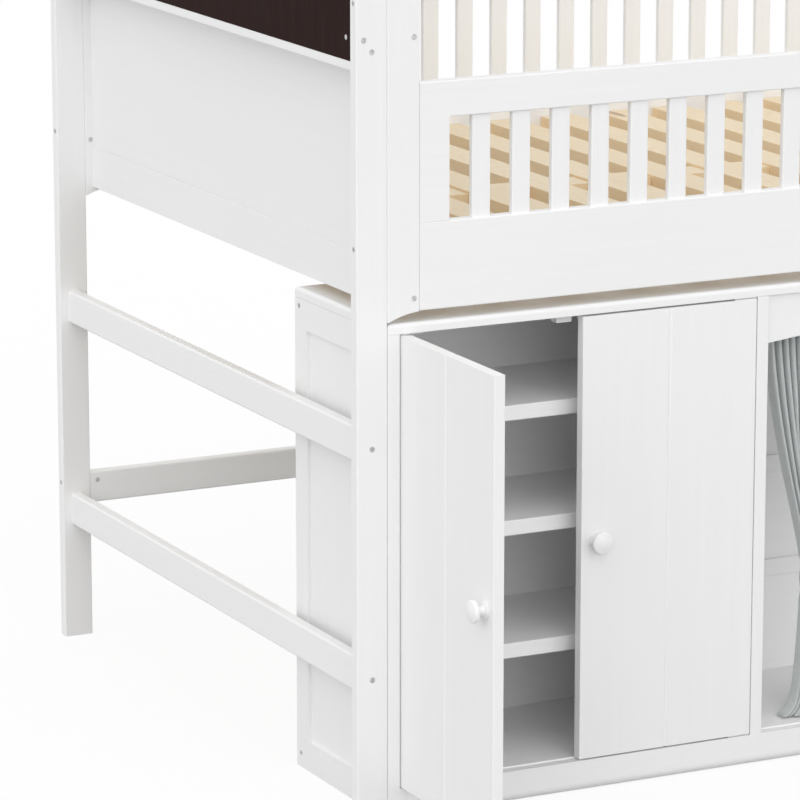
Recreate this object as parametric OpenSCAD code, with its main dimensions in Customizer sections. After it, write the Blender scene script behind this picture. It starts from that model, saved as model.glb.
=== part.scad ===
// Loft bed: a slatted deck between head and foot posts, a headboard with a shelf and a
// chalkboard, a ladder at the foot end, and a cabinet with two doors and a curtained bay
// underneath. Millimetres, +Z up, head end at -X, front at -Y. The origin is on the floor,
// under the middle of the room that the bed takes up with its left door open.

/* [Bed] */
// Length over the posts
bed_l = 2108; // [2030:1:2400]
// Width over the posts
bed_w = 1472; // [1300:1:1700]
// Height of the two posts at the head
head_h = 1880; // [1780:1:2000]
// Height of the guards, and of the two posts at the foot
guard_z = 1407; // [1360:1:1425]

/* [Posts and stiles] */
// Width of a post, along the bed
post_w = 63; // [55:1:75]
// Thickness of a post, across the bed
post_t = 26; // [24:1:32]
// Width of the stile beside each post
stile_w = 66.5; // [62:0.5:80]
// Radius of the arch cut under a stile's foot
foot_r = 180; // [150:5:240]
// How far the arch's crown lies beyond the stile
foot_crown = 12.5; // [8:0.5:20]
// How far the stile's foot reaches below the side rail
foot_drop = 17; // [12:0.5:18]
// Radius of the rounded arrises on posts, rails and boards
arris = 2.5; // [1:0.5:4]

/* [Side rails and deck] */
// Height of the side rails' lower edge above the floor
rail_z = 981; // [979:1:1010]
// Height of the side rails
rail_h = 165; // [150:1:180]
// Thickness of the side rails and guards
rail_t = 26; // [22:1:26]
// How far the deck lies below the side rails' upper edge
deck_drop = 93; // [85:1:100]
// Width of a deck slat
slat_w = 79; // [60:1:95]
// Thickness of a deck slat
slat_t = 26; // [18:1:28]
// Distance from one deck slat to the next
slat_pitch = 141.5; // [110:0.5:142]
// Width of the centre beam
beam_w = 79; // [60:1:120]
// How far the centre beam's top lies below the slats' tops
beam_below = 5; // [3:1:10]
// Height of the centre beam
beam_h = 45; // [36:1:45]
// Width of the ledgers along the side rails
ledger_w = 24; // [18:1:40]

/* [Guards] */
// Height of the guards' top rails
guard_rail_h = 67.5; // [55:0.5:80]
// Width of the front guard's end stiles
guard_end_w = 61; // [50:1:75]
// Width of a guard slat
baluster_w = 38; // [28:1:42]
// Thickness of a guard slat
baluster_t = 14; // [10:1:18]
// Distance from one front guard slat to the next
front_pitch = 83.6; // [75:0.2:84]
// Distance from one rear guard slat to the next
rear_pitch = 84.4; // [75:0.2:85]
// Distance from one foot guard slat to the next
foot_pitch = 84; // [75:1:90]
// Least gap between a row of slats and the frame at its ends
row_gap = 18; // [10:1:30]

/* [End frames] */
// Height of the cross rails between a pair of posts
stretcher_h = 69; // [55:1:80]
// Thickness of the cross rails
stretcher_t = 24; // [20:1:30]
// Middle of the lower cross rails above the floor
stretcher_lo_z = 283; // [265:1:310]
// Middle of the upper cross rails above the floor
stretcher_hi_z = 727.5; // [690:0.5:740]
// Radius of the cross rails' rounded arrises
stretcher_r = 5; // [2:0.5:8]
// Lower edge of the rear floor rail
floor_rail_z = 292; // [250:1:330]
// Height of the rear floor rail
floor_rail_h = 68; // [60:1:80]
// How far the headboard and the foot rail are set in from the posts' outer faces
panel_in = 80; // [76:1:82]
// Thickness of the headboard and the foot rail
panel_t = 16; // [14:1:18]
// Height of the headboard's lower board
panel_lower_h = 88; // [70:1:110]
// Height of the end ledgers
end_ledger_h = 48; // [44:1:48]

/* [Ladder] */
// Width of a ladder upright
upright_w = 58; // [45:1:70]
// Clear width between the uprights
ladder_w = 400; // [350:1:450]
// Thickness of a rung
rung_t = 32; // [26:1:34]

/* [Headboard shelf] */
// Underside of the headboard's shelf
head_shelf_z = 1431.5; // [1428:0.5:1450]
// Thickness of the shelf and of the top board
head_board_t = 18; // [16:1:22]
// Thickness of the chalkboard
chalk_t = 18; // [15:1:20]
// How far the chalkboard is set in from the posts' outer faces
chalk_in = 6.5; // [4:0.5:8]
// Thickness of the cleat behind the chalkboard
cleat_t = 14.5; // [12:0.5:16]
// Height of the cleat behind the chalkboard
cleat_h = 39; // [34:1:44]
// Thickness of the rail that keeps books on the shelf
book_rail_t = 22; // [18:1:24]
// Height of the rail that keeps books on the shelf
book_rail_h = 84; // [70:1:110]

/* [Cabinet] */
// Depth of the cabinet
cab_d = 403; // [360:1:440]
// Height of the plinth
plinth_h = 62.5; // [50:0.5:75]
// Radius of the plinth's rounded lower edge
plinth_r = 18; // [6:1:20]
// Underside of the cabinet's top board
cab_top_z = 940; // [925:1:941]
// Thickness of the cabinet's top board
cab_top_t = 20; // [16:1:21]
// Radius of the top board's rounded upper edges
cab_top_r = 8; // [2:1:8]
// Gap between the cabinet and the posts
cab_gap = 0.3; // [0.3:0.1:3]
// Thickness of the cabinet's sides
side_t = 25; // [22:1:28]
// Width of the bay behind the doors
bay_w = 768; // [650:1:850]
// Thickness of the upright between the bays
divider_t = 25.5; // [20:0.5:30]
// Width of the stiles and rails of the framed sides
frame_w = 53; // [40:1:65]
// How deep the sides' panels are recessed
recess = 7; // [4:1:10]
// Thickness of the cabinet's floor, shelves and valance
board_t = 18; // [15:1:20]
// Thickness of the frame in the cabinet's back
back_t = 30; // [24:1:34]
// Thickness of the panels in the cabinet's back
back_panel_t = 12; // [9:1:16]
// Height of the battens across the curtained bay's back
batten_h = 36; // [25:1:60]
// Thickness of the battens
batten_t = 8; // [5:1:12]
// Height of the shelves' front edges
lip_h = 30; // [22:1:36]
// Distance of the shelves' front edges from the cabinet's front
shelf_in = 61; // [45:1:80]
// Height of the lower shelf's upper face
shelf_lower_z = 297.5; // [260:0.5:340]
// Height of the middle shelf's upper face
shelf_middle_z = 540.5; // [500:0.5:580]
// Height of the upper shelf's upper face
shelf_upper_z = 765.5; // [720:0.5:800]

/* [Doors] */
// Thickness of a door
door_t = 22; // [18:1:24]
// Gap between a door and the board beside it
door_gap = 2; // [1.6:0.1:3]
// Gap between the two doors
meet_gap = 4; // [3:0.5:6]
// Gap above and below a door
door_gap_z = 3.2; // [3:0.1:4]
// Distance of the hinge pins from a door's edge and face
pin_in = 3; // [3:0.5:4]
// Radius of the hinge pins
pin_r = 1.5; // [1.2:0.1:1.8]
// Width of the groove between a door's two boards
groove_w = 9; // [5:0.5:12]
// Depth of that groove
groove_t = 3; // [2:0.5:4]
// Diameter of a knob's head
knob_d = 44; // [36:1:50]
// Diameter of a knob's flared base
knob_base_d = 33; // [32:1:36]
// Distance of a knob's axis from its door's free edge
knob_in = 33; // [28:1:45]
// Height of the knobs above the floor
knob_z = 498; // [400:1:600]

/* [Curtains] */
// Diameter of the curtain rod
rod_d = 16; // [12:1:20]
// Distance of the rod's axis from the cabinet's front
rod_in = 66; // [58:1:80]
// Height of the rod's axis
rod_z = 893; // [889:1:905]
// Depth of the valance at its ends
valance_h = 95; // [85:1:110]
// Rise of the arch in the valance's lower edge
valance_rise = 33; // [20:1:34]
// How far the valance is set back from the cabinet's front
valance_in = 8; // [4:1:12]
// Middle of a curtain from the side of its bay
curtain_in = 174; // [160:1:220]
// Width of a curtain at the rod
curtain_w = 280; // [240:1:300]
// Width of a curtain where its band gathers it
waist_w = 90; // [80:1:110]
// Width of a curtain at its hem
hem_w = 206; // [180:1:260]
// Height of the band's middle above the floor
waist_z = 346; // [300:1:420]
// Height of the band
band_h = 40; // [25:1:60]
// Number of folds in a curtain
fold_count = 6; // [4:1:7]

/* [Hidden] */

$fn = 48;
// Clearance of pieces that are laid in or hung without glue
seat = 0.3;
// Overshoot of a cutter past the face that it opens
cut = 1;
// Radii of lightly rounded arrises
fine_r = 1.5;
soft_r = 2;
// How far the boards of one glued-up piece run into each other
lap = 1;

paint = "#eeeeec";
pine = "#e2cfa8";
slate = "#33292a";
steel = "#b9babb";
cloth = "#9eaaa9";

// Places along and across the bed, from the head posts' outer faces and the front
mid_x = bed_l / 2;
mid_y = bed_w / 2;
stile_x = post_w + stile_w;
panel_x = panel_in + panel_t;
stretcher_x = (post_w - stretcher_t) / 2;
book_rail_in = 0.5;
book_rail_x = stile_x - book_rail_t / 2 - book_rail_in;

// Heights of the deck, the guards and the headboard's shelf
rail_top = rail_z + rail_h;
deck_z = rail_top - deck_drop;
slat_z = deck_z - slat_t;
ledger_lift = 3;
beam_z = deck_z - beam_below - beam_h;
guard_z0 = guard_z - guard_rail_h;
head_shelf_top = head_shelf_z + head_board_t;
head_top_z = head_h - head_board_t;

// The cabinet's front, from left to right, and its back
cab_x0 = post_w + cab_gap;
bay_x0 = cab_x0 + side_t;
bay_x1 = bay_x0 + bay_w;
nook_x0 = bay_x1 + divider_t;
cab_x1 = bed_l - cab_x0;
nook_x1 = cab_x1 - side_t;
back_set_in = 3;
back_y = cab_d - back_t - back_set_in;
floor_lift = 2.5;
floor_z = plinth_h + floor_lift;

// Doors and their hinge pins
door_w = (bay_w - 2 * door_gap - meet_gap) / 2;
door_z0 = plinth_h + door_gap_z;
door_z1 = cab_top_z - door_gap_z;
pin_x_left = bay_x0 + door_gap + pin_in;
pin_x_right = bay_x1 - door_gap - pin_in;
free_edge = door_w - pin_in;
// The left door stands open at a right angle, and reaches furthest to the front
rest_angle = -90;
door_reach = door_w - 2 * pin_in;

// Hinge leaves are let into the wood and stand a little proud of it
leaf_t = 3.2;
leaf_let = 2;
leaf_w = 10;
leaf_l = 46;
leaf_play = 0.1;
pin_play = 0.05;

// Magnetic catches and striker plates
catch_w = 32;
catch_h = 15;
catch_d = 22;
catch_in = 25;
strike_r = 7;
strike_t = 1.2;
strike_proud = 0.4;
strike_drop = 8;
catch_gap = 0.5;

// Knobs, turned about their axis, and their screws
screw_r = 2;
screw_bite = 12;
screw_head_r = 4.5;
screw_head_h = 2.2;
knob_l = 33;
neck_r = 8;
knob_base_t = 3.5;
head_l = 14;
dome_r = 46;
bead_r = 5.5;
cove_r = (knob_l - head_l - knob_base_t) / 2;

// Socket-head bolts, and barrel nuts across their ends
bolt_r = 3;
bolt_head_r = 5.5;
bolt_head_h = 4;
bolt_sink = 0.5;
bolt_play = 0.25;
bolt_bite = 40;
nut_r = 5;
nut_l = 14;
floor_nut_in = 17;
chalk_nut_in = 30;
stile_nut_in = 13;
stile_nut_drop = 63;
stile_bolt_drop = 41;
stile_bolt_rise = 109;
floor_bolt_drop = 19;
side_bolt_lo = 28;
side_bolt_drop = 15;

// Rectangle from a to b with its corners rounded
module rounded(a, b, r = arris) {
  q = min(r, (b.x - a.x) / 2.1, (b.y - a.y) / 2.1);
  translate([a.x + q, a.y]) square([b.x - a.x - 2 * q, b.y - a.y]);
  translate([a.x, a.y + q]) square([b.x - a.x, b.y - a.y - 2 * q]);
  for (x = [a.x + q, b.x - q], y = [a.y + q, b.y - q]) translate([x, y]) circle(q);
}

// Bars from one corner to the opposite one, with the arrises along their length rounded
module bar_x(a, b, r = arris)
  translate([a.x, 0, 0]) rotate([90, 0, 90]) linear_extrude(b.x - a.x)
    rounded([a.y, a.z], [b.y, b.z], r);
module bar_y(a, b, r = arris)
  translate([0, b.y, 0]) rotate([90, 0, 0]) linear_extrude(b.y - a.y)
    rounded([a.x, a.z], [b.x, b.z], r);
module bar_z(a, b, r = arris)
  translate([0, 0, a.z]) linear_extrude(b.z - a.z) rounded([a.x, a.y], [b.x, b.y], r);
module block(a, b) translate(a) cube(b - a);

// From the corner of the head posts and the front to the place of the origin
module place() translate([-mid_x, (door_reach - bed_w) / 2, 0]) children();

// Into the corner at the head (0) or foot (1) and the front (0) or rear (1), drawn at 0, 0
module corner(end, side)
  translate([end * bed_l, side * bed_w, 0]) mirror([end, 0, 0]) mirror([0, side, 0]) children();

// Something along +Z, laid along +Y or +X from the place given
module along_y(x, z) translate([x, 0, z]) rotate([-90, 0, 0]) children();
module along_x(y, z) translate([0, y, z]) rotate([0, 90, 0]) children();

// A bolt from the face at z = 0 into the wood, and its hole
module bolt(len) difference() {
  translate([0, 0, bolt_sink]) union() {
    cylinder(r = bolt_head_r, h = bolt_head_h);
    cylinder(r = bolt_r, h = len - bolt_sink);
  }
  translate([0, 0, bolt_sink - cut]) cylinder(r = bolt_r, h = cut + bolt_head_h / 2, $fn = 6);
}
module bolt_hole(len) {
  translate([0, 0, -cut]) cylinder(r = bolt_head_r + bolt_play, h = bolt_head_h + bolt_sink + cut);
  translate([0, 0, -cut]) cylinder(r = bolt_r + bolt_play, h = len + cut + seat);
}

// Bolts across the bed: [place along the bed, height, whether only the head has them]
head_bolt_z = head_shelf_top + book_rail_h / 2;
chalk_top_z = head_top_z - book_rail_h / 2;
across_bolts = [
  [post_w / 2, stretcher_lo_z, false],
  [post_w / 2, stretcher_hi_z, false],
  [book_rail_x, rail_z + end_ledger_h / 2, false],
  [book_rail_x, head_bolt_z, true],
  [chalk_in + chalk_t / 2, head_bolt_z, true],
  [chalk_in + chalk_t / 2, chalk_top_z, true],
  [chalk_in + chalk_t + cleat_t / 2, head_shelf_top + cleat_h / 2, true],
];
// Bolts through a post into its stile: [height, whether only the head has them]
along_bolts = [[rail_top - stile_bolt_drop, false], [head_shelf_top + stile_bolt_rise, true]];
floor_bolt_z = floor_rail_z + floor_rail_h - floor_bolt_drop;
across_len = post_t + bolt_bite;
along_len = post_w + bolt_bite;

// A corner's bolts or holes, given as children: 0 those across, 1 those along the bed
module at_bolts(end, side) corner(end, side) {
  for (b = across_bolts) if (end == 0 || !b[2]) along_y(b[0], b[1]) children(0);
  for (b = along_bolts) if (end == 0 || !b[1]) along_x(post_t / 2, b[0]) children(1);
  if (side == 1) along_x(post_t / 2, floor_bolt_z) children(1);
}
module corner_holes(end, side) at_bolts(end, side) {
  bolt_hole(across_len);
  bolt_hole(along_len);
}

// Barrel nuts: in the rear floor rail, in the stiles and in the chalkboard's outer face
module floor_nuts(play = 0)
  for (end = [0, 1]) corner(end, 1) translate([post_w + floor_nut_in, post_t + play, floor_bolt_z])
    rotate([90, 0, 0]) cylinder(r = nut_r + play, h = nut_l + nut_r + 2 * play);
module stile_nuts(play = 0)
  for (end = [0, 1], side = [0, 1]) corner(end, side)
    translate([post_w + stile_nut_in, post_t + play, rail_top - stile_nut_drop]) rotate([90, 0, 0])
      cylinder(r = nut_r + play, h = nut_l + 2 * play);
module chalk_nuts(play = 0)
  for (side = [0, 1], z = [head_bolt_z, chalk_top_z]) corner(0, side)
    translate([chalk_in - play, post_t + chalk_nut_in, z]) rotate([0, 90, 0])
      cylinder(r = nut_r + play, h = nut_l + 2 * play);

module post(end, side) color(paint) difference() {
  corner(end, side) bar_z([0, 0, 0], [post_w, post_t, end == 0 ? head_h : guard_z]);
  corner_holes(end, side);
}

// Stile beside a post; its foot is arched and runs out into the side rail
module stile(end, side) color(paint) difference() {
  corner(end, side) difference() {
    bar_z([post_w, 0, rail_z - foot_drop], [stile_x, post_t, end == 0 ? head_h : guard_z]);
    translate([stile_x + foot_crown, -cut, rail_z - foot_r]) rotate([-90, 0, 0])
      cylinder(r = foot_r, h = post_t + 2 * cut, $fn = 180);
  }
  corner_holes(end, side);
  stile_nuts(bolt_play);
}

// The two cross rails between the posts of one end
module stretchers(end) color(paint) difference() {
  for (z = [stretcher_lo_z, stretcher_hi_z]) corner(end, 0)
    bar_y([stretcher_x, post_t, z - stretcher_h / 2],
          [stretcher_x + stretcher_t, bed_w - post_t, z + stretcher_h / 2], stretcher_r);
  for (side = [0, 1]) corner_holes(end, side);
}

module rear_floor_rail_form() color(paint) difference() {
  bar_x([post_w, bed_w - post_t, floor_rail_z],
        [bed_l - post_w, bed_w, floor_rail_z + floor_rail_h], stretcher_r);
  for (end = [0, 1]) corner_holes(end, 1);
  floor_nuts(bolt_play);
}

module side_rail(side) color(paint) corner(0, side)
  bar_x([stile_x, 0, rail_z], [bed_l - stile_x, rail_t, rail_top]);

// Ledgers along the side rails carry the slats; end ledgers carry the centre beam
module slat_ledgers_form() color(pine) for (side = [0, 1]) corner(0, side)
  block([stile_x + seat, rail_t, rail_z + ledger_lift], [bed_l - stile_x - seat, rail_t + ledger_w, slat_z]);
module end_ledgers_form() color(pine) for (end = [0, 1]) difference() {
  corner(end, 0)
    block([panel_x, post_t, rail_z], [stile_x, bed_w - post_t, rail_z + end_ledger_h]);
  corner(end, 0) block([panel_x - cut, mid_y - beam_w / 2 - seat, beam_z],
    [stile_x + cut, mid_y + beam_w / 2 + seat, rail_z + end_ledger_h + cut]);
  for (side = [0, 1]) corner_holes(end, side);
}

// Places of a row's pieces about its middle: as many of width w as fit in half the room
// with a slat in the middle (odd), or with a gap there (even)
function odd_row(room, w, pitch) =
  let (n = floor((room - w / 2 - row_gap) / pitch)) [for (i = [-n : n]) i * pitch];
function even_row(room, w, pitch) =
  let (n = floor((room - w / 2 - row_gap) / pitch + 0.5))
    [for (i = [0.5 - n : n - 0.5]) i * pitch];

// Left edges of the deck slats
slat_xs = [for (x = odd_row(mid_x - panel_x, slat_w, slat_pitch)) mid_x + x - slat_w / 2];

// Gap between the slats' ends and the side rails
slat_end_gap = 1;

// Beam under the middle of the deck, notched for every slat
module centre_beam_form() color(pine) difference() {
  block([panel_x, mid_y - beam_w / 2, beam_z],
        [bed_l - panel_x, mid_y + beam_w / 2, beam_z + beam_h]);
  for (x = slat_xs) translate([x - seat, mid_y - beam_w, slat_z])
    cube([slat_w + 2 * seat, 2 * beam_w, slat_t]);
}
module bed_slats_form() color(pine) for (x = slat_xs)
  bar_y([x, rail_t + slat_end_gap, slat_z], [x + slat_w, bed_w - rail_t - slat_end_gap, deck_z], fine_r);

// Guard slats in a row about the middle of the bed
front_xs = even_row(mid_x - stile_x - guard_end_w, baluster_w, front_pitch);
rear_xs = odd_row(mid_x - stile_x, baluster_w, rear_pitch);
module guard_slats(xs, y) color(paint) for (x = xs) translate([mid_x + x, y, 0])
  bar_z([-baluster_w / 2, -baluster_t / 2, rail_top], [baluster_w / 2, baluster_t / 2, guard_z0]);

// Front guard's top rail and end stiles, glued up as one frame
module guard_frame_front_form() color(paint) {
  bar_x([stile_x, 0, guard_z0], [bed_l - stile_x, rail_t, guard_z]);
  for (end = [0, 1]) corner(end, 0)
    block([stile_x, 0, rail_top], [stile_x + guard_end_w, rail_t, guard_z0 + arris * 2]);
}
module guard_rail_rear_form() color(paint)
  bar_x([stile_x, bed_w - rail_t, guard_z0], [bed_l - stile_x, bed_w, guard_z]);

// Headboard of two boards that meet in a joint line, with a tongue in it
tongue = 6;
module headboard_form() color(paint) {
  joint_z = rail_z + panel_lower_h;
  bar_y([panel_in, post_t, rail_z], [panel_x, bed_w - post_t, joint_z], fine_r);
  bar_y([panel_in, post_t, joint_z], [panel_x, bed_w - post_t, head_shelf_z], fine_r);
  block([panel_in + 2 * fine_r, post_t, joint_z - tongue],
        [panel_x - 2 * fine_r, bed_w - post_t, joint_z + tongue]);
}

// Shelf above the headboard, with the chalkboard as its back, and the board on top
module head_board(z) color(paint)
  bar_y([chalk_in, post_t, z], [stile_x, bed_w - post_t, z + head_board_t]);
module chalkboard_form() color(slate) difference() {
  block([chalk_in, post_t, head_shelf_top], [chalk_in + chalk_t, bed_w - post_t, head_top_z]);
  for (side = [0, 1]) corner_holes(0, side);
  chalk_nuts(bolt_play);
}
module chalkboard_cleat_form() color(paint) difference() {
  bar_y([chalk_in + chalk_t, post_t, head_shelf_top],
        [chalk_in + chalk_t + cleat_t, bed_w - post_t, head_shelf_top + cleat_h], fine_r);
  for (side = [0, 1]) corner_holes(0, side);
}
module book_rail_form() color(paint) difference() {
  bar_y([book_rail_x - book_rail_t / 2, post_t, head_shelf_top],
        [book_rail_x + book_rail_t / 2, bed_w - post_t, head_shelf_top + book_rail_h]);
  for (side = [0, 1]) corner_holes(0, side);
}

// Foot end: a rail, two short guards, and a ladder between them
upright_y = mid_y - ladder_w / 2 - upright_w;
module foot_rail_form() color(paint) corner(1, 0)
  bar_y([panel_in, post_t, rail_z], [panel_x, bed_w - post_t, rail_top]);
module foot_guard_rails_form() color(paint) for (side = [0, 1]) corner(1, side)
  bar_y([panel_in, post_t, guard_z0], [panel_x, upright_y + upright_w, guard_z]);
foot_ys = odd_row((upright_y - post_t) / 2, baluster_w, foot_pitch);
module foot_guard_slats_form() color(paint) for (side = [0, 1], y = foot_ys) corner(1, side)
  translate([(panel_in + panel_x) / 2, (post_t + upright_y) / 2 + y, 0])
    bar_z([-baluster_t / 2, -baluster_w / 2, rail_top],
          [baluster_t / 2, baluster_w / 2, guard_z0], soft_r);
module ladder_uprights_form() color(paint) for (side = [0, 1]) corner(1, side)
  bar_z([stretcher_x + stretcher_t, upright_y, 0], [panel_in, upright_y + upright_w, guard_z]);
module ladder_rungs_form() color(paint) {
  step = (stretcher_hi_z - stretcher_lo_z) / 2;
  x = (stretcher_x + stretcher_t + panel_in) / 2;
  y = upright_y + upright_w;
  for (z = [stretcher_lo_z + step, stretcher_hi_z + step]) corner(1, 0)
    bar_y([x - rung_t / 2, y, z - stretcher_h / 2],
          [x + rung_t / 2, bed_w - y, z + stretcher_h / 2], stretcher_r);
}

// Plinth: a front rail with a rounded lower edge, and a rail under the floor's back
module cabinet_plinth_form() color(paint) difference() {
  union() {
    translate([bay_x0, 0, 0]) rotate([90, 0, 90]) linear_extrude(nook_x1 - bay_x0) {
      translate([0, plinth_r]) square([door_t, plinth_h - plinth_r]);
      translate([plinth_r, 0]) square([door_t - plinth_r, plinth_h]);
      translate([plinth_r, plinth_r]) circle(plinth_r);
    }
    block([bay_x0, back_y - board_t, 0], [nook_x1, back_y, floor_z - board_t]);
  }
  hinge_leaves(leaf_play);
}
module cabinet_floor_form() color(paint)
  bar_x([bay_x0, door_t, floor_z - board_t], [nook_x1, back_y, floor_z], fine_r);
// Top board, rounded along its four upper edges and eased along its lower ones
module top_profile(a, b) {
  rounded([a, cab_top_z], [b, cab_top_z + cab_top_t], cab_top_r);
  rounded([a, cab_top_z], [b, cab_top_z + cab_top_t / 2], fine_r);
}
module cabinet_top_form() color(paint) difference() {
  intersection() {
    rotate([90, 0, 90]) linear_extrude(bed_l) top_profile(0, cab_d);
    translate([0, bed_w, 0]) rotate([90, 0, 0]) linear_extrude(2 * bed_w) top_profile(cab_x0, cab_x1);
  }
  hinge_leaves(leaf_play);
}

// Side of the cabinet: two stiles and two rails round a recessed panel
frame_more = 6;
frame_h = frame_w + frame_more;
side_bolt_zs = [side_bolt_lo, cab_top_z - side_bolt_drop];
module side_frame(end) color(paint) corner(end, 0) difference() {
  union() {
    for (y = [0, cab_d - frame_w]) block([cab_x0, y, 0], [bay_x0, y + frame_w, cab_top_z]);
    for (z = [0, cab_top_z - frame_h])
      block([cab_x0, frame_w - lap, z], [bay_x0, cab_d - frame_w + lap, z + frame_h]);
  }
  at_side_bolts() bolt_hole(side_t + bolt_bite);
}
module at_side_bolts() for (z = side_bolt_zs)
  translate([cab_x0, back_y + back_t / 2, z]) rotate([0, 90, 0]) children();
module side_panels_form() color(paint) for (end = [0, 1]) corner(end, 0)
  block([cab_x0 + recess, frame_w, frame_h], [bay_x0, cab_d - frame_w, cab_top_z - frame_h]);

// Upright between the bays, cut away over the floor board
module cabinet_divider_form() color(paint) difference() {
  bar_z([bay_x1, 0, plinth_h], [nook_x0, back_y, cab_top_z], soft_r);
  block([bay_x1 - cut, door_t, 0], [nook_x0 + cut, back_y + cut, floor_z]);
}

// Back: a frame of stiles and rails with thin panels, and battens across the nook
back_xs = [bay_x0, bay_x1 + (divider_t - frame_w) / 2, nook_x1 - frame_w];
batten_zs = [for (k = [1 : 3]) floor_z + k * (cab_top_z - floor_z) / 4];
module back_frame_form() color(paint) difference() {
  union() {
    for (x = back_xs) block([x, back_y, 0], [x + frame_w, back_y + back_t, cab_top_z]);
    for (i = [0, 1], z = [0, cab_top_z - frame_w])
      block([back_xs[i] + frame_w - lap, back_y, z],
            [back_xs[i + 1] + lap, back_y + back_t, z + frame_w]);
    for (z = batten_zs) {
      bar_x([nook_x0, back_y - batten_t, z - batten_h / 2],
            [nook_x1, back_y, z + batten_h / 2], soft_r);
      for (x = [[nook_x0, back_xs[1] + frame_w], [back_xs[2], nook_x1]])
        block([x[0], back_y - lap, z - batten_h / 4], [x[1], back_y + lap, z + batten_h / 4]);
    }
  }
  for (end = [0, 1]) corner(end, 0) at_side_bolts() bolt_hole(side_t + bolt_bite);
}
module back_panels_form() color(paint) for (i = [0, 1])
  block([back_xs[i] + frame_w, back_y, frame_w],
        [back_xs[i + 1], back_y + back_panel_t, cab_top_z - frame_w]);

// Shelf: a board with a deeper, rounded front edge
module shelf(z) color(paint) {
  block([bay_x0, shelf_in + board_t / 2, z - board_t], [bay_x1, back_y, z]);
  bar_x([bay_x0, shelf_in, z - lip_h], [bay_x1, shelf_in + board_t, z], arris);
}

// Valance: a board whose lower edge is cut to a long, flat arch
module valance_form() color(paint) difference() {
  span = nook_x1 - nook_x0;
  arch_r = (pow(span / 2, 2) + pow(valance_rise, 2)) / (2 * valance_rise);
  block([nook_x0, valance_in, cab_top_z - valance_h], [nook_x1, valance_in + board_t, cab_top_z]);
  translate([nook_x0 + span / 2, 0, cab_top_z - valance_h + valance_rise - arch_r])
    rotate([-90, 0, 0]) cylinder(r = arch_r, h = valance_in + board_t + cut, $fn = 360);
}

// Curtain rod in two cup sockets
socket_t = 8;
socket_wall = 5;
rod_end = 2;
module curtain_rod_form() color(steel) translate([nook_x0 + rod_end, rod_in, rod_z])
  rotate([0, 90, 0]) cylinder(d = rod_d, h = nook_x1 - nook_x0 - 2 * rod_end);
module rod_sockets_form() color(steel) difference() {
  for (x = [nook_x0, nook_x1 - socket_t]) translate([x, rod_in, rod_z]) rotate([0, 90, 0])
    cylinder(r = rod_d / 2 + socket_wall, h = socket_t);
  translate([nook_x0 + rod_end - seat, rod_in, rod_z]) rotate([0, 90, 0])
    cylinder(r = rod_d / 2 + pin_play, h = nook_x1 - nook_x0 - 2 * (rod_end - seat));
}

// Curtain: a pleated sheet that hangs from the rod and is gathered by a band. Its points
// are rings round the sheet; u runs from 0 to 1 across it.
curtain_t = 6;
fold_a = 16;
hem_gap = 2;
hem_z = floor_z + hem_gap;
curtain_top = rod_z - rod_d / 2 - seat;
band_z0 = waist_z - band_h / 2;
band_z1 = waist_z + band_h / 2;
levels = concat([for (i = [0 : 4]) hem_z + (band_z0 - hem_z) * i / 4],
                [for (i = [0 : 6]) band_z1 + (curtain_top - band_z1) * i / 6]);
fold_steps = 5 * fold_count;
function above(z) = max(0, z - band_z1) / (curtain_top - band_z1);
function below(z) = max(0, band_z0 - z) / (band_z0 - hem_z);
function curtain_half(z) = (waist_w + (curtain_w - waist_w) * (1 - pow(1 - above(z), 2))
  + (hem_w - waist_w) * pow(below(z), 3)) / 2;
function sheet_point(u, z, face) = [
  curtain_half(z) * (2 * u - 1),
  fold_a * sin(360 * fold_count * u) + face * curtain_t / 2,
  z,
];
function sheet_ring(z) = concat(
  [for (j = [0 : fold_steps]) sheet_point(j / fold_steps, z, -1)],
  [for (j = [fold_steps : -1 : 0]) sheet_point(j / fold_steps, z, 1)]);
module curtain_sheet() {
  n = 2 * (fold_steps + 1);
  rows = len(levels) - 1;
  points = [for (z = levels) each sheet_ring(z)];
  walls = [for (i = [0 : rows - 1], j = [0 : n - 1])
    let (a = i * n + j, b = i * n + (j + 1) % n) each [[a, b + n, b], [a, a + n, b + n]]];
  hem = [for (j = [0 : fold_steps - 1]) each [[j, j + 1, n - 2 - j], [j, n - 2 - j, n - 1 - j]]];
  head = [for (f = hem) [f[2], f[1], f[0]] + rows * n * [1, 1, 1]];
  polyhedron(points, concat(walls, hem, head), convexity = 6);
}
// Into the left (0) or right (1) half of the curtained bay
module in_nook(side)
  translate([side == 0 ? nook_x0 + curtain_in : nook_x1 - curtain_in, rod_in, 0])
    mirror([side, 0, 0]) children();

// Bands that tie the curtains back
band_t = 4;
band_r = 2;
module tiebacks_form() color(cloth) for (side = [0, 1]) in_nook(side)
  translate([0, 0, band_z0]) linear_extrude(band_h) difference() {
    inner = [waist_w / 2 + seat, fold_a + curtain_t / 2 + seat];
    rounded(-inner - [band_t, band_t], inner + [band_t, band_t], band_r + band_t);
    rounded(-inner, inner, band_r);
  }

// Hinge leaf in the x, y plane, with its pin's axis at the origin
module leaf_outline(play) {
  circle(pin_in + play);
  translate([0, -leaf_w / 4]) square([leaf_l + play, leaf_w]);
}
// A door's own leaves, let into its lower and upper end, with the pins
module door_leaves(hand, play = 0) mirror([hand, 0, 0]) for (up = [0, 1])
  translate([0, 0, up == 1 ? door_z1 : door_z0]) mirror([0, 0, 1 - up])
    translate([0, 0, -leaf_let]) {
      translate([0, 0, -play]) linear_extrude(leaf_t + play) leaf_outline(play);
      if (play == 0) cylinder(r = pin_r, h = 2 * leaf_t);
    }
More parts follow.
